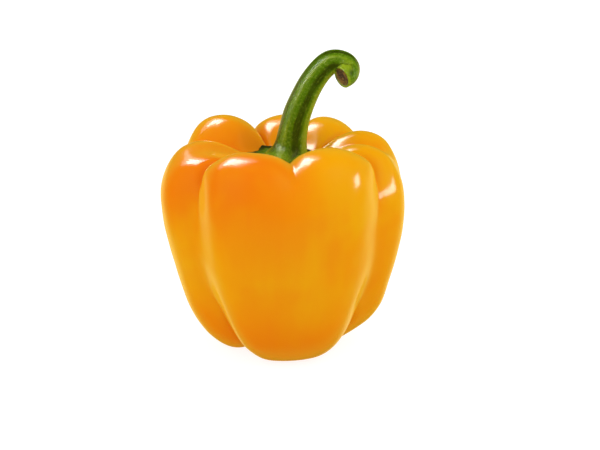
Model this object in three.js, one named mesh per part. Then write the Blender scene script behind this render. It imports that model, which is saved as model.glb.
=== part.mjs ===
// Bell pepper standing on its lobes: a four-lobed fruit, its calyx and its hooked stem.
// Millimetres, +Z up, front towards -Y. Azimuth 0 is the front and 90 is +X.
import * as THREE from 'three';

const { smoothstep, lerp, degToRad } = THREE.MathUtils;

// Outline of a lobe along its crest, from the seat of the calyx out to the blossom scar.
const CREST = outline([
  [0, 71], [8, 70.6], [13.5, 71.6], [20, 76.3], [28, 79], [37, 75.3], [42, 64],
  [42.2, 48], [39.2, 30.2], [34, 13.6], [25.5, 3.3], [17, 0], [8, 3.5], [0, 6.8],
]);
// The same outline along the bottom of a groove between two lobes.
const VALLEY = outline([
  [0, 71], [8, 70.6], [13, 70.6], [18, 70.9], [25, 71.7], [32.3, 70.2], [38.4, 63.5],
  [39.7, 48.6], [36.8, 32.6], [31, 18.8], [23, 10.8], [16, 7.5], [8, 6.8], [0, 6.8],
]);
const SPANS = 13;

// Every lobe has two cheeks. Each cheek: azimuth, extra radius at the shoulder and at the side,
// extra height of the shoulder, and lift of its lower edge.
const CHEEKS = [
  { azimuth: -26, shoulder: 0, side: 0, crown: 1.2, lift: 0 },
  { azimuth: 36, shoulder: 0, side: 0, crown: 2.2, lift: 0 },
  { azimuth: 80, shoulder: 2.6, side: 1.6, crown: -1, lift: 2 },
  { azimuth: 106, shoulder: 2.4, side: 1.6, crown: 0.9, lift: 2 },
  { azimuth: 142, shoulder: 0.5, side: 0.5, crown: 1.4, lift: 0 },
  { azimuth: 183, shoulder: 0.5, side: 0.5, crown: 1.3, lift: 0 },
  { azimuth: 226, shoulder: 2.4, side: 1, crown: 3.7, lift: 0 },
  { azimuth: 284, shoulder: 2.2, side: 0.2, crown: -3.4, lift: 0 },
];
// Grooves between the lobes: azimuth at the top, the side and the base, and depth at the side.
const GROOVES = [
  { top: -57, side: -50, base: -42, depth: 1.6 },
  { top: 70, side: 58, base: 65, depth: 1.25 },
  { top: 122, side: 122, base: 122, depth: 1 },
  { top: 203, side: 203, base: 203, depth: 1 },
];
// Shallow dents between the two cheeks of a lobe: depth at the top and at the side.
const DENTS = [
  { azimuth: 5.5, top: 0.72, side: 0.15, reach: 32 },
  { azimuth: 92, top: 0.72, side: 0.2, reach: 19 },
  { azimuth: 163, top: 0.5, side: 0.2, reach: 22 },
  { azimuth: 252, top: 1.05, side: 0.15, reach: 27 },
];
const GROOVE_REACH = [[32, 34], [40, 28], [30, 40], [40, 45]];
// How sharply a groove is creased along the outline: 1 is a crease, 0 a soft valley.
const CREASE = new THREE.SplineCurve([
  new THREE.Vector2(0, 1), new THREE.Vector2(4.4, 0.95), new THREE.Vector2(6, 0.15),
  new THREE.Vector2(8.4, 0.02), new THREE.Vector2(10, 0.7), new THREE.Vector2(13, 1),
]);
const FLAT_DEPTH = 0.45;

const COLUMNS = [22, 12, 16, 22];
const ROWS = 44;

const GAP = 0.35;
const CALYX_THICKNESS = 2.2;
const CALYX_RADIUS = 11.5;
const CALYX_ROWS = 9;
const NECK_TOP = 74.2;
const SEPALS = [
  { azimuth: -97, length: 3.8, width: 17 },
  { azimuth: -25, length: 2.5, width: 20 },
  { azimuth: 38, length: 2.6, width: 18 },
  { azimuth: 100, length: 5, width: 17 },
  { azimuth: 150, length: 3, width: 20 },
  { azimuth: 212, length: 3.4, width: 20 },
];

// Centre line and radii of the stem, from the calyx to the cut end.
const STEM_LINE = [
  [2.3, 0, 75.3], [2.8, 0, 78], [3.6, 0, 81.5], [4.9, 0, 86.6], [7.1, -0.15, 92.3],
  [9.6, -0.45, 97.5], [12.2, -0.8, 101.5], [14.6, -1.15, 104.3], [16.9, -1.5, 105.9],
  [19.5, -2.05, 106.2], [22, -3, 105.3], [23.1, -4.4, 103.7], [22.3, -6, 102.4],
  [20.5, -7.3, 101.7],
];
const STEM_RADII = [
  5.9, 5.5, 5.3, 5.1, 4.8, 4.6, 4.4, 4.25, 4.15, 4.1, 4.15, 4.2, 4.2, 4,
];
// Flattening of the stem on the inside of its bend, as a share of the bend's radius.
const STEM_INSIDE = 0.85;
const STEM_STEPS = 39;
const STEM_SIDES = 24;

const ORANGE = 0xe88d07;
const STEM_GREEN = 0x4f6b0c;
const CALYX_GREEN = 0x55600f;

function outline(points) {
  return new THREE.SplineCurve(points.map(([radius, height]) => new THREE.Vector2(radius, height)));
}

function angleBetween(from, to) {
  return THREE.MathUtils.euclideanModulo(to - from + 180, 360) - 180;
}

// Shares of the top, the side and the base of the fruit at a place along the outline.
function zones(knot) {
  const top = 1 - smoothstep(knot, 4.6, 7);
  const base = smoothstep(knot, 8, 10.5);
  return { top, side: 1 - top - base, base };
}

function grooveAzimuth(groove, zone) {
  return groove.top * zone.top + groove.side * zone.side + groove.base * zone.base;
}

// A cheek's property at an azimuth, passing smoothly from each cheek to the next.
function cheekValue(name, azimuth) {
  const count = CHEEKS.length;
  for (let i = 0; i < count; i++) {
    const here = CHEEKS[i];
    const next = CHEEKS[(i + 1) % count];
    const span = THREE.MathUtils.euclideanModulo(next.azimuth - here.azimuth, 360);
    const along = THREE.MathUtils.euclideanModulo(azimuth - here.azimuth, 360);
    if (along <= span) return lerp(here[name], next[name], smoothstep(along / span, 0, 1));
  }
  throw new Error('azimuth outside the ring of cheeks');
}

// 1 in the bottom of a groove and 0 at its reach, creased or as a soft valley.
function notch(distance, crease) {
  const away = Math.min(Math.abs(distance), 1);
  const sharp = 1 - Math.sqrt(1 - (1 - away) ** 2.6);
  const soft = (0.5 + 0.5 * Math.cos(Math.PI * away)) ** 1.8;
  return crease * sharp + (1 - crease) * soft;
}

function grooveDepth(azimuth, knot) {
  const zone = zones(knot);
  const crease = CREASE.getPoint(creaseParameter(knot)).y;
  let depth = 0;
  GROOVES.forEach((groove, i) => {
    const away = angleBetween(grooveAzimuth(groove, zone), azimuth);
    const reach = away < 0 ? GROOVE_REACH[i][0] : GROOVE_REACH[i][1];
    depth += notch(away / reach, crease) * lerp(1, groove.depth, zone.side);
  });
  DENTS.forEach((dent) => {
    const away = angleBetween(dent.azimuth, azimuth);
    depth += (dent.top * zone.top + dent.side * zone.side) * notch(away / dent.reach, crease);
  });
  return Math.min(depth, lerp(1.15, 1.65, zone.side));
}

// Parameter of the crease curve whose first coordinate is the given knot.
function creaseParameter(knot) {
  let low = 0;
  let high = 1;
  for (let i = 0; i < 24; i++) {
    const middle = (low + high) / 2;
    if (CREASE.getPoint(middle).x < knot) low = middle;
    else high = middle;
  }
  return low;
}

// Point of the fruit's skin at an azimuth and a place along the outline, 0 seat to 1 scar.
function skin(azimuth, along) {
  const knot = along * SPANS;
  const crown = smoothstep(knot, 1.8, 3.4) * (1 - smoothstep(knot, 5.2, 8));
  const shoulder = smoothstep(knot, 3, 5) * (1 - smoothstep(knot, 5.8, 8));
  const side = smoothstep(knot, 5.8, 8) * (1 - smoothstep(knot, 9, 12));
  const edge = smoothstep(knot, 8, 10) * (1 - smoothstep(knot, 10.2, 11));
  const crest = CREST.getPoint(along);
  crest.x += cheekValue('shoulder', azimuth) * shoulder + cheekValue('side', azimuth) * side;
  crest.y += cheekValue('crown', azimuth) * crown + cheekValue('lift', azimuth) * edge;
  const place = crest.lerp(VALLEY.getPoint(along), grooveDepth(azimuth, knot));
  const height = Math.max(place.y - FLAT_DEPTH, 0);
  const turn = degToRad(azimuth);
  return new THREE.Vector3(place.x * Math.sin(turn), -place.x * Math.cos(turn), height);
}

// Azimuths of the columns at one row, so that columns always run along the grooves.
function columnAzimuths(along) {
  const zone = zones(along * SPANS);
  const azimuths = [];
  GROOVES.forEach((groove, i) => {
    const start = grooveAzimuth(groove, zone);
    const next = grooveAzimuth(GROOVES[(i + 1) % GROOVES.length], zone);
    const span = THREE.MathUtils.euclideanModulo(next - start, 360);
    for (let j = 0; j < COLUMNS[i]; j++) {
      const even = j / COLUMNS[i];
      const crowded = 0.5 - 0.5 * Math.cos(Math.PI * even);
      azimuths.push(start + span * lerp(even, crowded, 0.5));
    }
  });
  return azimuths;
}

// Closed mesh from rings of equal length between two end points, wound outwards.
function closedMesh(name, first, rings, last, color, roughness) {
  const sides = rings[0].length;
  const points = [first, ...rings.flat(), last];
  const faces = [];
  for (let i = 0; i < sides; i++) {
    const next = (i + 1) % sides;
    faces.push(0, 1 + i, 1 + next);
    for (let row = 0; row + 1 < rings.length; row++) {
      const here = 1 + row * sides;
      const below = here + sides;
      faces.push(here + i, below + i, below + next);
      faces.push(here + i, below + next, here + next);
    }
    const bottom = 1 + (rings.length - 1) * sides;
    faces.push(bottom + i, points.length - 1, bottom + next);
  }
  const geometry = new THREE.BufferGeometry().setFromPoints(points);
  geometry.setIndex(faces);
  geometry.computeVertexNormals();
  const material = new THREE.MeshStandardMaterial({ color, roughness, metalness: 0 });
  material.name = name;
  const mesh = new THREE.Mesh(geometry, material);
  mesh.name = name;
  return mesh;
}

function fruit() {
  const rings = [];
  for (let row = 1; row < ROWS; row++) {
    rings.push(columnAzimuths(row / ROWS).map((azimuth) => skin(azimuth, row / ROWS)));
  }
  return closedMesh('fruit', skin(0, 0), rings, skin(0, 1), ORANGE, 0.25);
}

// Radius of the calyx at an azimuth: a scalloped rim with pointed sepals.
function calyxRadius(azimuth) {
  let radius = CALYX_RADIUS;
  SEPALS.forEach((sepal) => {
    const away = Math.abs(angleBetween(sepal.azimuth, azimuth)) / sepal.width;
    radius += sepal.length * Math.max(0, 1 - away) ** 1.3;
  });
  return radius;
}

// Height of the fruit's cavity at an azimuth and a radius.
function cavityHeight(azimuth, radius) {
  let low = 0;
  let high = 4 / SPANS;
  for (let i = 0; i < 30; i++) {
    const middle = (low + high) / 2;
    const point = skin(azimuth, middle);
    if (Math.hypot(point.x, point.y) < radius) low = middle;
    else high = middle;
  }
  return skin(azimuth, low).z;
}

// Top face of the calyx: a neck that falls in a hollow curve to a thin rim.
function calyxTop(azimuth, share) {
  const radius = calyxRadius(azimuth) * share;
  const rim = cavityHeight(azimuth, radius) + GAP + CALYX_THICKNESS * (1 - 0.35 * share);
  const neck = 1 - smoothstep(radius, 6.4, 10);
  return lerp(rim, NECK_TOP, neck);
}

function ringPoint(azimuth, radius, height, centre) {
  const turn = degToRad(azimuth);
  return new THREE.Vector3(centre + radius * Math.sin(turn), -radius * Math.cos(turn), height);
}

function calyx() {
  const azimuths = columnAzimuths(0);
  const shares = Array.from({ length: CALYX_ROWS }, (_, i) => (i + 1) / CALYX_ROWS);
  const upper = shares.map((share) => azimuths.map((azimuth) => {
    const radius = calyxRadius(azimuth) * share;
    const centre = STEM_LINE[0][0] * (1 - smoothstep(radius, 5, 12));
    return ringPoint(azimuth, radius, calyxTop(azimuth, share), centre);
  }));
  const lower = shares.map((share) => azimuths.map((azimuth) => {
    const radius = calyxRadius(azimuth) * share;
    return ringPoint(azimuth, radius, cavityHeight(azimuth, radius) + GAP, 0);
  })).reverse();
  const top = new THREE.Vector3(STEM_LINE[0][0], 0, NECK_TOP);
  const bottom = new THREE.Vector3(0, 0, cavityHeight(0, 0) + GAP);
  return closedMesh('calyx', top, [...upper, ...lower], bottom, CALYX_GREEN, 0.6);
}

// Radius of the stem at a share of its length.
function stemRadius(share) {
  const places = STEM_RADII.map((radius, i) => new THREE.Vector2(i, radius));
  return new THREE.SplineCurve(places).getPoint(share).y;
}

// How fast the stem turns at a share of its length, as a vector towards the inside of the bend.
function stemBend(line, share) {
  const before = Math.max(share - 0.01, 0);
  const after = Math.min(share + 0.01, 1);
  const length = line.getPoint(before).distanceTo(line.getPoint(after));
  return line.getTangent(after).sub(line.getTangent(before)).divideScalar(length);
}

function stem() {
  const line = new THREE.CatmullRomCurve3(STEM_LINE.map((point) => new THREE.Vector3(...point)));
  line.curveType = 'catmullrom';
  const side = new THREE.Vector3(0, 1, 0);
  const rings = [];
  for (let step = STEM_STEPS; step >= 0; step--) {
    const share = step / STEM_STEPS;
    const centre = line.getPoint(share);
    const along = line.getTangent(share);
    const across = new THREE.Vector3().crossVectors(side, along).normalize();
    const front = new THREE.Vector3().crossVectors(along, across);
    const radius = stemRadius(share);
    const bend = stemBend(line, share);
    rings.push(Array.from({ length: STEM_SIDES }, (_, i) => {
      const turn = (2 * Math.PI * i) / STEM_SIDES;
      const outward = across.clone().multiplyScalar(Math.cos(turn));
      outward.addScaledVector(front, Math.sin(turn));
      const inside = STEM_INSIDE / Math.max(bend.dot(outward), 0.01);
      return centre.clone().addScaledVector(outward, Math.min(radius, inside));
    }));
  }
  rings[rings.length - 1].forEach((point) => { point.z = NECK_TOP + 0.3; });
  const end = line.getPoint(1);
  const start = line.getPoint(0).setZ(NECK_TOP + 0.3);
  return closedMesh('stem', end, rings, start, STEM_GREEN, 0.45);
}

function pepper() {
  const group = new THREE.Group();
  group.name = 'bell_pepper';
  group.add(fruit(), calyx(), stem());
  const box = new THREE.Box3().setFromObject(group);
  const centre = box.getCenter(new THREE.Vector3());
  group.children.forEach((mesh) => mesh.geometry.translate(-centre.x, -centre.y, -box.min.z));
  return group;
}

export default pepper();
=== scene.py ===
import math

import bmesh
import bpy
from bpy.props import FloatProperty, FloatVectorProperty, IntProperty, PointerProperty
from bpy.types import Operator, Panel, PropertyGroup
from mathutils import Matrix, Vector, noise


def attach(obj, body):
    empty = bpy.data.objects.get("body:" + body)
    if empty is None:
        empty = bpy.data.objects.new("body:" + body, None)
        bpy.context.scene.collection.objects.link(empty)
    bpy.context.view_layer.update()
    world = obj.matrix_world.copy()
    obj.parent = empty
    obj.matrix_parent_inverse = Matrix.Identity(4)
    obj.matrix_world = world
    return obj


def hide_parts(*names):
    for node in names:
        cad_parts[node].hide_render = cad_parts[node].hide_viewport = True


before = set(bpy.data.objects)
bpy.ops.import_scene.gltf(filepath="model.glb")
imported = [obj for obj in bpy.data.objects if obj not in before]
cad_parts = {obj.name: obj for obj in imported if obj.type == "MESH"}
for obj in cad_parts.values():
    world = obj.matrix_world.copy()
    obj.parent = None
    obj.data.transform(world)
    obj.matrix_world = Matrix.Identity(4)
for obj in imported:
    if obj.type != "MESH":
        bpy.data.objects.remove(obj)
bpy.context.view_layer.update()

bl_info = {
    "name": "Bell pepper",
    "version": (1, 0, 0),
    "blender": (4, 5, 0),
    "location": "3D View > Sidebar > Pepper",
    "description": "Builds an orange bell pepper with its calyx and stem, and a studio round it",
    "category": "Object",
}

# The stem's middle line, from its foot in the calyx to its cut end, and its radii, in metres.
STEM_LINE = (
    (0.0028, -0.0002, 0.0712), (0.0028, -0.0002, 0.0733), (0.0029, -0.0002, 0.0756),
    (0.0032, -0.0002, 0.0780), (0.0038, -0.0002, 0.0815), (0.0050, -0.0002, 0.0866),
    (0.0072, -0.0004, 0.0923), (0.0097, -0.0007, 0.0975), (0.0123, -0.0010, 0.1015),
    (0.0147, -0.0014, 0.1043), (0.0170, -0.0017, 0.1059), (0.0196, -0.0022, 0.1062),
    (0.0220, -0.0031, 0.1053), (0.0230, -0.0045, 0.1037), (0.0222, -0.0061, 0.1024),
    (0.0206, -0.0074, 0.1017),
)
STEM_RADII = (
    0.0062, 0.0060, 0.0058, 0.0055, 0.0052, 0.0050, 0.0047, 0.0045, 0.0043, 0.0042, 0.0041,
    0.0040, 0.0041, 0.0042, 0.0042, 0.0040,
)
STEM_STEPS = 60
STEM_RIDGES = 4
SIDES_PER_RIDGE = 8

# Places round the stem, in degrees, and the side to which its foot spreads.
FIRST_SIDE = 90.0
RIDGE_AZIMUTH = 58.0
# The side along which the stem is painted with a pale line of light.
LIT_EDGE_AZIMUTH = 336.0
STEM_FLARE_SIDE = Vector((-0.9, -0.43, 0.0))

# On the inside of a tight bend a ring reaches no further than this part of the bend's radius.
STEM_INSIDE = 0.85
# The stem's direction is measured between points this far along it on both sides.
STEM_REACH = 0.01

# The stem's cut end: the radius of its dry face, and the widths of its rim, its wall and the
# last ring inside them.
CUT_RADIUS = 0.0035
CUT_RIM = 0.0004
CUT_ROUND = 0.0002
CUT_WALL = 0.0006
CUT_INNER = 0.0013

# The calyx: the middle of the stem's foot on it, its usual radius and the height of its top.
FOOT_X = 0.0021
FOOT_Y = -0.0002
CALYX_RADIUS = 0.0125
CALYX_TOP = 0.0717
# The neck is full height up to the first distance from the foot's middle and gone at the second.
NECK_INNER = 0.0035
NECK_OUTER = 0.0085
CALYX_BUMPS = 600.0

# The fruit's grooves, in radians: an edge bent more than GROOVE_BEND is kept sharp, with the
# weight GROOVE_CREASE, and one bent by GROOVE_FULL has the whole crease colour.
GROOVE_BEND = 0.45
GROOVE_CREASE = 0.55
GROOVE_FULL = 0.6

CAMERA_TARGET = Vector((0.0061, 0.0, 0.045))
CAMERA_DISTANCE = 0.517
CAMERA_RISE = 19.0
CAMERA_LENS = 85.0
CAMERA_SENSOR = 36.0
LIGHT_CENTRE = Vector((0.0, 0.0, 0.05))
LIGHT_TARGET = (0.0, 0.0, 0.055)


# ---------------------------------------------------------------- sizes and colours

def colour(name, description, default):
    return FloatVectorProperty(
        name=name, description=description, default=default,
        subtype="COLOR", size=3, min=0.0, max=1.0)


def length(name, description, default):
    return FloatProperty(name=name, description=description, default=default,
                         unit="LENGTH", min=0.0, precision=5)


class PepperSizes(PropertyGroup):
    skin_waves: length("Skin waves", "Height of the soft unevenness of the fruit's skin", 0.00035)
    wave_width: length("Wave width", "Distance from one soft wave of the skin to the next", 0.016)
    ridge_height: length("Ridge height", "How far the stem's ridges stand out", 0.00030)
    foot_flare: length("Foot flare", "How far the stem's foot spreads to the left", 0.0048)
    cut_depth: length("Cut depth", "How far the stem's cut end is sunk", 0.0006)
    neck_height: length("Neck height", "How far the calyx rises round the stem", 0.0036)
    roughness: length("Calyx roughness", "Height of the calyx's fine bumps", 0.00045)
    smoothing: IntProperty(name="Smoothing", description="Subdivision steps of the fruit's skin",
                           default=2, min=1, max=2)


class PepperColours(PropertyGroup):
    skin: colour("Skin", "Main orange of the fruit", (0.865, 0.295, 0.0))
    # Deep skin: the skin's own redder patches, and also painted shade in the creases, low in front
    # and on the left shoulder.
    skin_deep_and_shade: colour("Deep skin", "Redder orange, in creases and low down", (0.860, 0.185, 0.0))
    # Golden skin: the skin's own yellower patches, and also painted light to the right.
    skin_gold_and_lit: colour("Golden skin", "Yellower orange, mostly to the right", (0.870, 0.380, 0.0))
    skin_specks: colour("Skin specks", "Pale specks under the skin's wax", (0.92, 0.50, 0.004))
    # Painted sheen: pale yellow painted on the skin's edges where it turns away from the camera.
    skin_rim_sheen: colour("Skin rim sheen", "Pale yellow where the skin turns away", (0.90, 0.50, 0.025))
    stem: colour("Stem", "Middle green of the stem", (0.084, 0.185, 0.0))
    # Stem valleys and ridges: the stem's own dark and pale greens, also used for painted shade in
    # the valleys and for painted light on the ridges, one side, the foot and the curl.
    stem_dark_and_shade: colour("Stem valleys", "Dark green between the ridges", (0.034, 0.060, 0.0005))
    stem_pale_and_lit: colour("Stem ridges", "Light yellow-green of the ridges", (0.290, 0.400, 0.008))
    # Painted sheen: pale green painted where the stem turns away from the camera.
    stem_rim_sheen: colour("Stem rim", "Pale green where the stem turns away", (0.24, 0.34, 0.02))
    stem_flecks: colour("Stem flecks", "Pale flecks on the stem", (0.28, 0.38, 0.04))
    calyx_neck: colour("Calyx neck", "Fresh green round the stem's foot", (0.12, 0.20, 0.002))
    sepal: colour("Calyx", "Olive green of the calyx", (0.040, 0.056, 0.001))
    sepal_tip: colour("Sepal tips", "Dry brown of the sepals' tips", (0.014, 0.008, 0.001))
    cut: colour("Cut end", "Brown of the stem's dry cut", (0.240, 0.130, 0.016))
    cut_dark: colour("Cut pores", "Dark brown of the dry cut's pores", (0.060, 0.028, 0.004))
    floor: colour("Floor", "Pale studio floor", (0.32, 0.32, 0.32))
    floor_patch: colour("Floor patches", "Slightly darker patches of the floor", (0.28, 0.28, 0.28))


# ---------------------------------------------------------------- mesh helpers

def select_only(piece):
    bpy.ops.object.select_all(action="DESELECT")
    bpy.context.view_layer.objects.active = piece
    piece.select_set(True)


def merged_copy(node, name):
    """A CAD node's surface as one joined mesh of four-sided faces, in a new object."""
    piece = bpy.data.objects.new(name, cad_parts[node].data.copy())
    piece.data.name = name
    piece.data.materials.clear()
    bpy.context.collection.objects.link(piece)
    select_only(piece)
    bpy.ops.object.mode_set(mode="EDIT")
    bpy.ops.mesh.select_all(action="SELECT")
    bpy.ops.mesh.remove_doubles(threshold=0.00002)
    bpy.ops.mesh.tris_convert_to_quads(
        face_threshold=math.pi, shape_threshold=math.pi, topology_influence=2.0)
    bpy.ops.object.mode_set(mode="OBJECT")
    return piece


def subdivide(piece, levels):
    select_only(piece)
    smooth = piece.modifiers.new("smooth", "SUBSURF")
    smooth.levels = levels
    smooth.render_levels = levels
    bpy.ops.object.modifier_apply(modifier=smooth.name)


def finish_piece(piece, node, material):
    """Settles a piece: its shading, its material and its place in the frame."""
    select_only(piece)
    bpy.ops.object.shade_smooth()
    for attribute in ("custom_normal", "sharp_edge", "sharp_face"):
        if attribute in piece.data.attributes:
            piece.data.attributes.remove(piece.data.attributes[attribute])
    piece.data.materials.append(material)
    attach(piece, "root")
    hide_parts(node)


def write_attribute(piece, name, values):
    layer = piece.data.attributes.new(name, "FLOAT", "POINT")
    layer.data.foreach_set("value", values)


def blend(low, high, value):
    share = min(max((value - low) / (high - low), 0.0), 1.0)
    return share * share * (3.0 - 2.0 * share)


# ---------------------------------------------------------------- material helpers

class Maker:
    """Adds nodes to a material or a node group from left to right."""

    def __init__(self, tree):
        self.tree = tree
        self.column = 0

    def node(self, kind, **settings):
        made = self.tree.nodes.new(kind)
        made.location = (self.column * 190, 0)
        self.column += 1
        for key, value in settings.items():
            setattr(made, key, value)
        return made

    def link(self, source, target):
        self.tree.links.new(source, target)

    def value(self, socket, value):
        if isinstance(value, bpy.types.NodeSocket):
            self.link(value, socket)
        else:
            socket.default_value = value

    def maths(self, operation, first, second=0.0):
        made = self.node("ShaderNodeMath", operation=operation)
        self.value(made.inputs[0], first)
        self.value(made.inputs[1], second)
        return made.outputs[0]

    def add(self, first, second):
        return self.maths("ADD", first, second)

    def multiply(self, first, second):
        return self.maths("MULTIPLY", first, second)

    def swing(self, source, amount):
        """A pattern made to run as far below zero as above, times an amount."""
        return self.multiply(self.maths("SUBTRACT", source, 0.5), amount)

    def ramp(self, source, low, high):
        """0 below low and 1 above high, smooth between."""
        made = self.node("ShaderNodeMapRange", interpolation_type="SMOOTHSTEP")
        self.value(made.inputs["Value"], source)
        made.inputs["From Min"].default_value = low
        made.inputs["From Max"].default_value = high
        return made.outputs["Result"]

    def fade(self, source, low, high):
        """1 below low and 0 above high, smooth between."""
        return self.maths("SUBTRACT", 1.0, self.ramp(source, low, high))

    def choose(self, share, first, second):
        """The first number where the share is 0 and the second where it is 1."""
        made = self.node("ShaderNodeMix", data_type="FLOAT")
        self.value(made.inputs["Factor"], share)
        self.value(made.inputs["A"], first)
        self.value(made.inputs["B"], second)
        return made.outputs["Result"]

    def mix(self, share, first, second):
        made = self.node("ShaderNodeMix", data_type="RGBA")
        self.value(made.inputs["Factor"], share)
        for socket, value in ((made.inputs["A"], first), (made.inputs["B"], second)):
            self.value(socket, value if isinstance(value, bpy.types.NodeSocket) else (*value, 1.0))
        return made.outputs["Result"]

    def noise(self, vector, scale, detail=2.0, roughness=0.5, distortion=0.0):
        made = self.node("ShaderNodeTexNoise")
        self.link(vector, made.inputs["Vector"])
        made.inputs["Scale"].default_value = scale
        made.inputs["Detail"].default_value = detail
        made.inputs["Roughness"].default_value = roughness
        made.inputs["Distortion"].default_value = distortion
        return made.outputs["Fac"]

    def stretched(self, vector, scale):
        made = self.node("ShaderNodeMapping")
        self.link(vector, made.inputs["Vector"])
        made.inputs["Scale"].default_value = scale
        return made.outputs["Vector"]

    def split(self, vector):
        """The three parts of a vector."""
        made = self.node("ShaderNodeSeparateXYZ")
        self.link(vector, made.inputs["Vector"])
        return made.outputs["X"], made.outputs["Y"], made.outputs["Z"]

    def attribute(self, name):
        return self.node("ShaderNodeAttribute", attribute_name=name).outputs["Fac"]


def new_material(name):
    material = bpy.data.materials.new(name)
    material.use_nodes = True
    material.node_tree.nodes.clear()
    maker = Maker(material.node_tree)
    return material, maker


def finish_material(maker, base, roughness, normal=None, **constants):
    shader = maker.node("ShaderNodeBsdfPrincipled")
    maker.value(shader.inputs["Base Color"], base)
    maker.value(shader.inputs["Roughness"], roughness)
    if normal is not None:
        maker.link(normal, shader.inputs["Normal"])
    for key, value in constants.items():
        shader.inputs[key.replace("_", " ")].default_value = value
    output = maker.node("ShaderNodeOutputMaterial")
    maker.link(shader.outputs["BSDF"], output.inputs["Surface"])
    return shader


def bump(maker, height, strength, distance):
    made = maker.node("ShaderNodeBump")
    made.inputs["Strength"].default_value = strength
    made.inputs["Distance"].default_value = distance
    maker.link(height, made.inputs["Height"])
    return made.outputs["Normal"]


def speckle_group():
    """A mask of small soft specks that lie in patches over the surface."""
    name = "Plant specks"
    if name in bpy.data.node_groups:
        return bpy.data.node_groups[name]
    group = bpy.data.node_groups.new(name, "ShaderNodeTree")
    group.interface.new_socket("Vector", in_out="INPUT", socket_type="NodeSocketVector")
    group.interface.new_socket("Scale", in_out="INPUT", socket_type="NodeSocketFloat")
    group.interface.new_socket("Size", in_out="INPUT", socket_type="NodeSocketFloat")
    group.interface.new_socket("Mask", in_out="OUTPUT", socket_type="NodeSocketFloat")
    maker = Maker(group)
    source = maker.node("NodeGroupInput")
    cells = maker.node("ShaderNodeTexVoronoi", feature="F1")
    maker.link(source.outputs["Vector"], cells.inputs["Vector"])
    maker.link(source.outputs["Scale"], cells.inputs["Scale"])
    ratio = maker.maths("DIVIDE", cells.outputs["Distance"], source.outputs["Size"])
    patches = maker.ramp(maker.noise(source.outputs["Vector"], 160.0), 0.42, 0.62)
    result = maker.node("NodeGroupOutput")
    maker.link(maker.multiply(maker.fade(ratio, 0.4, 1.0), patches), result.inputs["Mask"])
    return group


def specks(maker, vector, scale, size):
    made = maker.node("ShaderNodeGroup", node_tree=speckle_group())
    maker.link(vector, made.inputs["Vector"])
    made.inputs["Scale"].default_value = scale
    made.inputs["Size"].default_value = size
    return made.outputs["Mask"]


# ---------------------------------------------------------------- materials

def skin_gold_share(maker, x, rise, clouds, streaks):
    """How golden the skin is, about 0 to 1: in patches and streaks of its own tone, golden low on
    the left, and with painted light making it lighter and yellower to the right and most on the
    upper right.
    """
    # Painted light: yellower to the right and on the upper right, where light falls.
    side = maker.add(0.47, maker.multiply(maker.ramp(x, -0.02, 0.04), 0.2))
    lit_upper_right = maker.multiply(maker.ramp(x, 0.0, 0.028), maker.ramp(rise, 0.040, 0.072))
    low_left = maker.multiply(maker.fade(x, -0.030, -0.006), maker.fade(rise, 0.038, 0.070))
    drift = maker.add(side, maker.multiply(lit_upper_right, 0.3))
    drift = maker.add(drift, maker.swing(clouds, 1.3))
    drift = maker.add(drift, maker.swing(streaks, 0.35))
    return maker.add(drift, maker.multiply(low_left, 0.28))


def deep_and_shade_share(maker, place, rise, clouds):
    """Where the skin is redder: painted shade low down in front and in the creases, and on the left
    shoulder patchy red that is partly the skin's own colour and partly painted shade.
    """
    x, y, z = maker.split(place)
    # Painted shade: redder low down, mostly on the front.
    front = maker.add(0.15, maker.multiply(maker.fade(y, -0.03, 0.01), 0.65))
    low = maker.multiply(maker.fade(z, 0.004, 0.034), front)
    # Partly the skin's own red patches, partly painted shade: redder on the left shoulder, mostly
    # in front.
    shoulder = maker.multiply(maker.ramp(rise, 0.040, 0.070), maker.fade(x, -0.012, 0.022))
    red_patch_and_shade = maker.multiply(shoulder, maker.ramp(clouds, 0.2, 0.45))
    near = maker.add(0.2, maker.multiply(maker.fade(y, -0.010, 0.020), 0.8))
    # Painted shade: redder in the grooves.
    deep = maker.maths("MAXIMUM", low, maker.multiply(maker.attribute("crease"), 0.8))
    return maker.maths("MAXIMUM", deep, maker.multiply(maker.multiply(red_patch_and_shade, near), 0.85))


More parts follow.
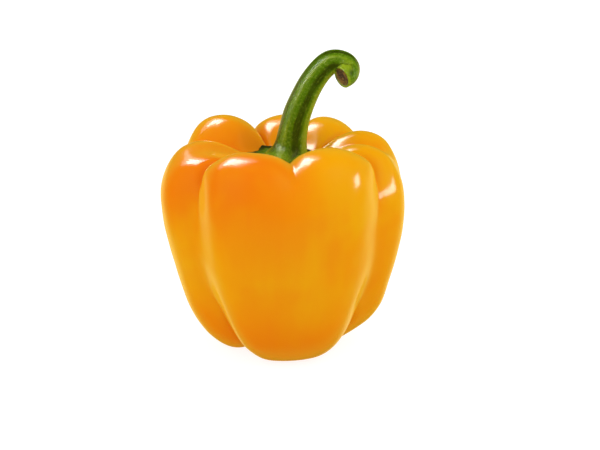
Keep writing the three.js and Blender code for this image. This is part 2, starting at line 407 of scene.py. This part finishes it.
def fruit_skin(colours):
    """Waxy orange skin: painted shade redder in the creases and low in front, a left shoulder
    redder partly in its own colour and partly in painted shade, painted light golden to the right,
    and a painted pale sheen at the edges.
    """
    material, maker = new_material("Fruit skin")
    place = maker.node("ShaderNodeTexCoord").outputs["Object"]
    x, _, z = maker.split(place)
    clouds = maker.noise(place, 38.0, distortion=0.4)
    streaks = maker.noise(maker.stretched(place, (1.0, 1.0, 0.22)), 210.0, detail=3.0)
    grain = maker.noise(place, 900.0)
    rise = maker.add(z, maker.swing(clouds, 0.05))
    drift = skin_gold_share(maker, x, rise, clouds, streaks)
    gold = maker.mix(maker.ramp(drift, 0.35, 0.95), colours.skin, colours.skin_gold_and_lit)
    warm = maker.mix(maker.fade(drift, 0.0, 0.4), gold, colours.skin_deep_and_shade)
    base = maker.mix(deep_and_shade_share(maker, place, rise, clouds), warm, colours.skin_deep_and_shade)
    pale = maker.multiply(specks(maker, place, 700.0, 0.16), 0.22)
    base = maker.mix(pale, base, colours.skin_specks)
    base = maker.mix(maker.multiply(grain, 0.05), base, colours.skin_deep_and_shade)
    # Painted sheen: the skin is painted pale yellow where it turns away, standing in for a pale
    # reflection at its edges.
    facing = maker.node("ShaderNodeLayerWeight").outputs["Facing"]
    base = maker.mix(maker.multiply(maker.ramp(facing, 0.34, 0.82), 0.62), base, colours.skin_rim_sheen)
    waves = maker.noise(place, 95.0, detail=1.0)
    fine = maker.noise(place, 1400.0, detail=1.0)
    normal = bump(maker, maker.add(waves, maker.multiply(fine, 0.02)), 0.35, 0.0006)
    rough = maker.add(0.34, maker.multiply(clouds, 0.08))
    shader = finish_material(
        maker, base, rough, normal, IOR=1.4, Coat_Weight=0.8, Coat_Roughness=0.15,
        Coat_IOR=1.45, Specular_IOR_Level=0.0, Subsurface_Weight=0.12, Subsurface_Scale=0.004)
    shader.inputs["Subsurface Radius"].default_value = (1.0, 0.4, 0.08)
    return material


def stem_green(maker, colours, place, streaks, flecks):
    """The stem's colour: valleys painted dark and ridges pale, partly their own greens and partly
    painted shade and light; painted light along one side, on the foot and inside the curl at its
    end; flecks and pits.
    """
    # Partly painted shade and light: the valleys are painted darker and the ridges paler.
    tone = maker.add(maker.attribute("ridge"), maker.swing(streaks, 0.9))
    dark = maker.mix(maker.ramp(tone, 0.0, 0.6), colours.stem_dark_and_shade, colours.stem)
    green = maker.mix(maker.ramp(tone, 0.72, 1.32), dark, colours.stem_pale_and_lit)
    clouds = maker.ramp(maker.noise(place, 120.0), 0.40, 0.65)
    green = maker.mix(maker.multiply(clouds, 0.5), green, colours.stem)
    # Painted light: the inside of the stem's curl near its end is painted pale, where light from
    # below falls.
    painted_hook_light = maker.multiply(maker.attribute("painted_hook_light"), 0.8)
    # Painted light: a pale line along one side of the stem and a pale patch on its foot.
    painted_edge_light = maker.multiply(maker.attribute("painted_edge_light"), maker.ramp(streaks, 0.25, 0.50))
    green = maker.mix(maker.maths("MAXIMUM", painted_hook_light, painted_edge_light), green, colours.stem_pale_and_lit)
    # Painted sheen: pale green at the stem's edges, standing in for a reflection there.
    facing = maker.node("ShaderNodeLayerWeight").outputs["Facing"]
    green = maker.mix(maker.multiply(maker.ramp(facing, 0.60, 0.95), 0.6), green, colours.stem_rim_sheen)
    pale = maker.multiply(maker.ramp(flecks, 0.50, 0.66), maker.ramp(tone, -0.3, 0.9))
    green = maker.mix(maker.multiply(pale, 0.6), green, colours.stem_flecks)
    pits = maker.multiply(maker.fade(flecks, 0.32, 0.46), 0.5)
    return maker.mix(pits, green, colours.stem_dark_and_shade)


def stem_skin(colours):
    """Ribbed green with pale flecks and streaks along the stem, and a dry brown cut end."""
    material, maker = new_material("Stem skin")
    place = maker.node("ShaderNodeTexCoord").outputs["Object"]
    wrap = maker.node("ShaderNodeAttribute", attribute_name="wrap").outputs["Vector"]
    streaks = maker.noise(maker.stretched(wrap, (1.0, 1.0, 0.18)), 6.5, detail=4.0, roughness=0.6)
    flecks = maker.noise(place, 1000.0, detail=4.0, roughness=0.7)
    pores = maker.ramp(maker.noise(place, 420.0, detail=4.0, roughness=0.65), 0.38, 0.62)
    cut = maker.attribute("cut")
    dry = maker.mix(pores, colours.cut_dark, colours.cut)
    base = maker.mix(cut, stem_green(maker, colours, place, streaks, flecks), dry)
    normal = bump(maker, maker.add(streaks, maker.multiply(flecks, 0.9)), 0.6, 0.0005)
    rough = maker.add(0.19, maker.multiply(cut, 0.6))
    finish_material(maker, base, rough, normal, IOR=1.35, Specular_IOR_Level=0.35)
    return material


def calyx_skin(colours):
    """Olive green that dries to brown at the tips of the sepals, rougher towards the rim."""
    material, maker = new_material("Calyx skin")
    place = maker.node("ShaderNodeTexCoord").outputs["Object"]
    clouds = maker.noise(place, 260.0, detail=4.0, roughness=0.6)
    grain = maker.noise(place, 1500.0, detail=3.0)
    out = maker.add(maker.attribute("reach"), maker.swing(clouds, 0.35))
    green = maker.mix(maker.ramp(out, 0.66, 0.86), colours.calyx_neck, colours.sepal)
    base = maker.mix(maker.ramp(out, 0.95, 1.15), green, colours.sepal_tip)
    patches = maker.multiply(maker.ramp(clouds, 0.5, 0.75), 0.5)
    base = maker.mix(patches, base, colours.stem_dark_and_shade)
    normal = bump(maker, maker.add(clouds, maker.multiply(grain, 0.5)), 0.6, 0.0006)
    rough = maker.add(0.30, maker.multiply(maker.ramp(out, 0.5, 0.9), 0.5))
    finish_material(maker, base, rough, normal, IOR=1.3, Specular_IOR_Level=0.2)
    return material


def floor_finish(colours):
    """Matt pale floor that glows a little, and more where the camera sees it."""
    material, maker = new_material("Studio floor")
    place = maker.node("ShaderNodeTexCoord").outputs["Object"]
    patches = maker.multiply(maker.noise(place, 3.0), 0.02)
    base = maker.mix(patches, colours.floor, colours.floor_patch)
    seen = maker.node("ShaderNodeLightPath").outputs["Is Camera Ray"]
    shader = finish_material(maker, base, 0.9, Specular_IOR_Level=0.0,
                             Emission_Color=(1.0, 1.0, 1.0, 1.0))
    maker.link(maker.add(0.60, maker.multiply(seen, 0.25)), shader.inputs["Emission Strength"])
    return material


# ---------------------------------------------------------------- pieces

def crease_values(piece):
    """How deep each point of the skin lies in a groove, from 0 to 1."""
    mesh = bmesh.new()
    mesh.from_mesh(piece.data)
    mesh.normal_update()
    values = [0.0] * len(mesh.verts)
    for vert in mesh.verts:
        bend = 0.0
        for edge in vert.link_edges:
            if edge.is_manifold:
                bend = max(bend, -edge.calc_face_angle_signed())
        values[vert.index] = min(bend / GROOVE_FULL, 1.0)
    links = [[edge.other_vert(vert).index for edge in vert.link_edges] for vert in mesh.verts]
    mesh.free()
    for _ in range(2):
        values = [max(0.5 * value + 0.5 * sum(values[i] for i in ring) / len(ring), 0.0)
                  for value, ring in zip(values, links)]
    return values


def pin_creases(piece):
    """Marks the deep grooves between the lobes so that smoothing keeps them sharp."""
    select_only(piece)
    bpy.ops.object.mode_set(mode="EDIT")
    bpy.ops.mesh.select_mode(type="EDGE")
    bpy.ops.mesh.select_all(action="DESELECT")
    mesh = bmesh.from_edit_mesh(piece.data)
    for edge in mesh.edges:
        if edge.is_manifold and edge.calc_face_angle_signed() < -GROOVE_BEND:
            edge.select_set(True)
    bmesh.update_edit_mesh(piece.data)
    bpy.ops.transform.edge_crease(value=GROOVE_CREASE)
    bpy.ops.object.mode_set(mode="OBJECT")


def ripple_skin(piece, height, width):
    """Moves the skin in and out in soft waves, and leaves the feet flat."""
    mesh = bmesh.new()
    mesh.from_mesh(piece.data)
    mesh.normal_update()
    shifts = []
    for vert in mesh.verts:
        wave = noise.noise(vert.co / width) + 0.4 * noise.noise(vert.co / (width * 0.45))
        shifts.append(vert.normal * wave * height * blend(0.002, 0.010, vert.co.z))
    for vert, shift in zip(mesh.verts, shifts):
        vert.co += shift
    mesh.to_mesh(piece.data)
    mesh.free()


class PEPPER_OT_fruit(Operator):
    """Adds the four-lobed fruit with its waxy orange skin"""
    bl_idname = "pepper.fruit"
    bl_label = "Add fruit"

    def execute(self, context):
        sizes = context.scene.pepper_sizes
        piece = merged_copy("fruit", "fruit_skin")
        write_attribute(piece, "crease", crease_values(piece))
        pin_creases(piece)
        subdivide(piece, sizes.smoothing)
        ripple_skin(piece, sizes.skin_waves, sizes.wave_width)
        finish_piece(piece, "fruit", fruit_skin(context.scene.pepper_colours))
        return {"FINISHED"}


class PEPPER_OT_calyx(Operator):
    """Adds the calyx with its dry-tipped sepals"""
    bl_idname = "pepper.calyx"
    bl_label = "Add calyx"

    def execute(self, context):
        sizes = context.scene.pepper_sizes
        piece = merged_copy("calyx", "calyx_skin")
        reach = [min(math.hypot(vert.co.x, vert.co.y) / CALYX_RADIUS, 1.2)
                 for vert in piece.data.vertices]
        write_attribute(piece, "reach", reach)
        subdivide(piece, 1)
        self.shape_top(piece, sizes.neck_height, sizes.roughness)
        finish_piece(piece, "calyx", calyx_skin(context.scene.pepper_colours))
        return {"FINISHED"}

    def shape_top(self, piece, neck_height, roughness):
        """Lets the neck slope down from the stem's foot, and makes the surface bumpy."""
        mesh = bmesh.new()
        mesh.from_mesh(piece.data)
        mesh.normal_update()
        for vert in mesh.verts:
            away = math.hypot(vert.co.x - FOOT_X, vert.co.y - FOOT_Y)
            top = CALYX_TOP + neck_height * (1.0 - blend(NECK_INNER, NECK_OUTER, away))
            vert.co.z = min(vert.co.z, top)
            vert.co += vert.normal * roughness * noise.noise(vert.co * CALYX_BUMPS)
        mesh.to_mesh(piece.data)
        mesh.free()


def curve_point(points, share):
    """Smooth curve through points, at a share of its length from 0 to 1."""
    last = len(points) - 1
    place = min(max(share, 0.0), 1.0) * last
    index = min(int(place), last - 1)
    along = place - index
    before = points[max(index - 1, 0)]
    here, there = points[index], points[index + 1]
    after = points[min(index + 2, last)]
    leave = (there - before) * 0.5
    arrive = (after - here) * 0.5
    return ((2 * here - 2 * there + leave + arrive) * along ** 3
            + (-3 * here + 3 * there - 2 * leave - arrive) * along ** 2
            + leave * along + here)


def stem_station(share):
    """Centre, direction and radius of the stem at a share of its length."""
    line = [Vector(point) for point in STEM_LINE]
    centre = curve_point(line, share)
    low, high = max(share - STEM_REACH, 0.0), min(share + STEM_REACH, 1.0)
    ahead = curve_point(line, high) - curve_point(line, low)
    return centre, ahead.normalized(), curve_point(STEM_RADII, share)


def stem_bend(share):
    """How fast the stem turns, as a vector towards the inside of its bend."""
    before = stem_station(max(share - STEM_REACH, 0.0))
    after = stem_station(min(share + STEM_REACH, 1.0))
    return (after[1] - before[1]) / (after[0] - before[0]).length


def turn_ring(old, new, centre):
    """Turns the selected ring from facing old to facing new, about its centre."""
    swing_back, swing = math.atan2(old.x, old.z), math.atan2(new.x, new.z)
    lean = math.asin(new.y) - math.asin(old.y)
    bpy.ops.transform.rotate(value=swing_back, orient_axis="Y", center_override=centre)
    bpy.ops.transform.rotate(value=lean, orient_axis="X", center_override=centre)
    bpy.ops.transform.rotate(value=-swing, orient_axis="Y", center_override=centre)


class PEPPER_OT_stem(Operator):
    """Adds the ridged stem that hooks over, with its cut end"""
    bl_idname = "pepper.stem"
    bl_label = "Add stem"

    def execute(self, context):
        sizes = context.scene.pepper_sizes
        centre, _, radius = stem_station(0.0)
        bpy.ops.object.select_all(action="DESELECT")
        bpy.ops.mesh.primitive_circle_add(
            vertices=STEM_RIDGES * SIDES_PER_RIDGE, radius=radius, location=centre)
        piece = context.object
        piece.name = "stem_skin"
        piece.data.name = "stem_skin"
        bpy.ops.object.transform_apply(location=True, rotation=True, scale=True)
        bpy.ops.object.mode_set(mode="EDIT")
        bpy.ops.mesh.select_all(action="SELECT")
        facing = Vector((0.0, 0.0, 1.0))
        for step in range(1, STEM_STEPS + 1):
            target, heading, next_radius = stem_station(step / STEM_STEPS)
            bpy.ops.mesh.extrude_edges_move(TRANSFORM_OT_translate={"value": target - centre})
            turn_ring(facing, heading, target)
            grow = next_radius / radius
            bpy.ops.transform.resize(value=(grow, grow, grow), center_override=target)
            centre, facing, radius = target, heading, next_radius
        self.close_end(sizes.cut_depth)
        bpy.ops.object.mode_set(mode="OBJECT")
        self.shape_ridges(piece, sizes)
        subdivide(piece, 2)
        finish_piece(piece, "stem", stem_skin(context.scene.pepper_colours))
        return {"FINISHED"}

    def close_end(self, depth):
        """Closes the last ring with a rounded rim and a sunken cut face."""
        bpy.ops.mesh.edge_face_add()
        bpy.ops.mesh.inset(thickness=CUT_RIM, depth=CUT_ROUND)
        bpy.ops.mesh.inset(thickness=CUT_WALL, depth=-depth)
        bpy.ops.mesh.inset(thickness=CUT_INNER, depth=0.0)

    def shape_ridges(self, piece, sizes):
        """Pulls out the ridges and the foot, and marks each point's place on the stem."""
        count = STEM_RIDGES * SIDES_PER_RIDGE
        wrap = []
        marks = {"ridge": [], "cut": [], "painted_hook_light": [], "painted_edge_light": []}
        for vert in piece.data.vertices:
            row, place = divmod(vert.index, count)
            share = min(row / STEM_STEPS, 1.0)
            angle = math.radians(FIRST_SIDE) + 2.0 * math.pi * place / count
            wave = math.cos(STEM_RIDGES * (angle - math.radians(RIDGE_AZIMUTH)))
            centre = stem_station(share)[0]
            outward = vert.co - centre
            side = outward.normalized()
            inner = stem_bend(share).dot(side)
            lean = max(side.dot(STEM_FLARE_SIDE), 0.0)
            if row <= STEM_STEPS:
                grown = blend(0.10, 0.25, share) * (1.0 - 0.7 * blend(0.75, 1.0, share))
                flare = sizes.foot_flare * lean * (1.0 - blend(0.0, 0.19, share)) ** 2
                reach = outward.length + wave * sizes.ridge_height * grown + flare
                vert.co = centre + side * min(reach, STEM_INSIDE / max(inner, 0.01))
            # Painted light: a pale line along one side of the stem, and a pale patch on the foot's
            # flare where a highlight falls.
            line = blend(0.84, 0.99, math.cos(angle - math.radians(LIT_EDGE_AZIMUTH)))
            foot = lean * (1.0 - blend(0.0, 0.13, share))
            on_cut = row >= STEM_STEPS and outward.length < CUT_RADIUS
            wrap.extend((math.cos(angle), math.sin(angle), share * 9.0))
            marks["ridge"].append(0.5 + 0.5 * wave)
            marks["cut"].append(1.0 if on_cut else 0.0)
            # Painted light inside the bend of the stem's curled end.
            marks["painted_hook_light"].append(blend(0.72, 0.90, share) * blend(-90.0, 30.0, inner))
            marks["painted_edge_light"].append(max(line, 0.9 * foot))
        for name, values in marks.items():
            write_attribute(piece, name, values)
        layer = piece.data.attributes.new("wrap", "FLOAT_VECTOR", "POINT")
        layer.data.foreach_set("vector", wrap)


# ---------------------------------------------------------------- stage

def aim(thing, target):
    direction = Vector(target) - thing.location
    thing.rotation_euler = direction.to_track_quat("-Z", "Y").to_euler()


def panel_light(name, azimuth, height, distance, size, watts, tint=(1.0, 1.0, 1.0),
                shine=True, fill=True):
    """A soft rectangular light; azimuth 0 is the front and 90 is +X."""
    data = bpy.data.lights.new(name, "AREA")
    data.shape = "RECTANGLE"
    data.size, data.size_y = size
    data.energy = watts
    data.color = tint
    light = bpy.data.objects.new(name, data)
    turn, rise = math.radians(azimuth), math.radians(height)
    direction = Vector((
        math.sin(turn) * math.cos(rise), -math.cos(turn) * math.cos(rise), math.sin(rise)))
    light.location = LIGHT_CENTRE + direction * distance
    aim(light, LIGHT_TARGET)
    light.visible_camera = False
    light.visible_glossy = shine
    light.visible_diffuse = fill
    light.visible_transmission = False
    bpy.context.collection.objects.link(light)
    return light


def light_only(light, name, pieces):
    """Lets a light fall on the named pieces only."""
    lit = bpy.data.collections.new(name)
    for piece in pieces:
        lit.objects.link(bpy.data.objects[piece])
    light.light_linking.receiver_collection = lit


def studio_world():
    """White room: the camera sees white, and gloss sees a dark room with a pale table behind."""
    world = bpy.data.worlds.new("Studio")
    world.use_nodes = True
    world.node_tree.nodes.clear()
    maker = Maker(world.node_tree)
    rays = maker.node("ShaderNodeLightPath").outputs
    x, y, z = maker.split(maker.node("ShaderNodeTexCoord").outputs["Generated"])
    height = maker.multiply(maker.fade(z, -0.15, 0.08), maker.ramp(z, -0.75, -0.50))
    table = maker.multiply(maker.ramp(y, 0.30, 0.75), height)
    gloss = maker.add(0.01, maker.multiply(table, 1.1))
    sides = maker.multiply(maker.ramp(maker.maths("ABSOLUTE", x), 0.2, 1.0), 0.50)
    above = maker.multiply(maker.ramp(z, 0.2, 1.0), 0.30)
    diffuse = maker.add(above, maker.add(0.56, sides))
    level = maker.choose(rays["Is Glossy Ray"], diffuse, gloss)
    back = maker.node("ShaderNodeBackground")
    warm = maker.mix(rays["Is Glossy Ray"], (1.0, 1.0, 1.0), (1.0, 0.8, 0.32))
    maker.link(warm, back.inputs["Color"])
    maker.link(maker.choose(rays["Is Camera Ray"], level, 1.0), back.inputs["Strength"])
    output = maker.node("ShaderNodeOutputWorld")
    maker.link(back.outputs["Background"], output.inputs["Surface"])
    world.cycles.sampling_method = "NONE"
    bpy.context.scene.world = world


class PEPPER_OT_stage(Operator):
    """Adds the camera, the pale floor and the soft studio light"""
    bl_idname = "pepper.stage"
    bl_label = "Add stage"

    def execute(self, context):
        data = bpy.data.cameras.new("Camera")
        data.lens = CAMERA_LENS
        data.sensor_width = CAMERA_SENSOR
        data.dof.use_dof = False
        data.clip_start = 0.01
        camera = bpy.data.objects.new("Camera", data)
        context.collection.objects.link(camera)
        rise = math.radians(CAMERA_RISE)
        direction = Vector((0.0, -math.cos(rise), math.sin(rise)))
        camera.location = CAMERA_TARGET + CAMERA_DISTANCE * direction
        aim(camera, CAMERA_TARGET)
        context.scene.camera = camera

        bpy.ops.object.select_all(action="DESELECT")
        bpy.ops.mesh.primitive_grid_add(x_subdivisions=8, y_subdivisions=8, size=6.0)
        floor = context.object
        floor.name = "studio_floor"
        floor.data.materials.append(floor_finish(context.scene.pepper_colours))
        floor.visible_glossy = False

        studio_world()
        box = panel_light("Back left box", -137, 53, 0.9, (0.32, 0.38), 6.5, fill=False)
        light_only(box, "Skin light", ("fruit_skin",))
        halo = panel_light("Back left halo", -137, 51, 0.92, (0.58, 0.62), 3.5, fill=False)
        light_only(halo, "Skin halo light", ("fruit_skin",))
        panel_light("Right window", 90, 11, 0.9, (0.26, 0.18), 1.9, fill=False)
        streak = panel_light("Stem window", -79, 33, 0.9, (0.08, 0.20), 19.0, (1.0, 0.98, 0.80),
                             fill=False)
        light_only(streak, "Stem light", ("stem_skin",))
        panel_light("Left fill", -60, 30, 1.2, (0.9, 0.9), 2.6, shine=False)
        panel_light("Right fill", 60, 45, 1.2, (0.9, 0.9), 3.0, shine=False)
        settings = context.scene.view_settings
        settings.view_transform = "Standard"
        settings.look = "None"
        return {"FINISHED"}


# ---------------------------------------------------------------- add-on

class PEPPER_PT_panel(Panel):
    """Lists the pieces, the sizes and the colours"""
    bl_idname = "PEPPER_PT_panel"
    bl_label = "Bell pepper"
    bl_space_type = "VIEW_3D"
    bl_region_type = "UI"
    bl_category = "Pepper"

    def draw(self, context):
        column = self.layout.column(align=True)
        for operator in STEPS:
            column.operator(operator.bl_idname)
        for group in (context.scene.pepper_sizes, context.scene.pepper_colours):
            box = self.layout.box()
            for name in group.bl_rna.properties.keys():
                if name not in ("name", "rna_type"):
                    box.prop(group, name)


STEPS = (PEPPER_OT_fruit, PEPPER_OT_calyx, PEPPER_OT_stem, PEPPER_OT_stage)
CLASSES = (PepperSizes, PepperColours, *STEPS, PEPPER_PT_panel)


def register():
    for item in CLASSES:
        bpy.utils.register_class(item)
    bpy.types.Scene.pepper_sizes = PointerProperty(type=PepperSizes)
    bpy.types.Scene.pepper_colours = PointerProperty(type=PepperColours)


def unregister():
    del bpy.types.Scene.pepper_colours
    del bpy.types.Scene.pepper_sizes
    for item in reversed(CLASSES):
        bpy.utils.unregister_class(item)


def main():
    register()
    bpy.ops.pepper.fruit()
    bpy.ops.pepper.calyx()
    bpy.ops.pepper.stem()
    bpy.ops.pepper.stage()


if __name__ == "__main__":
    main()
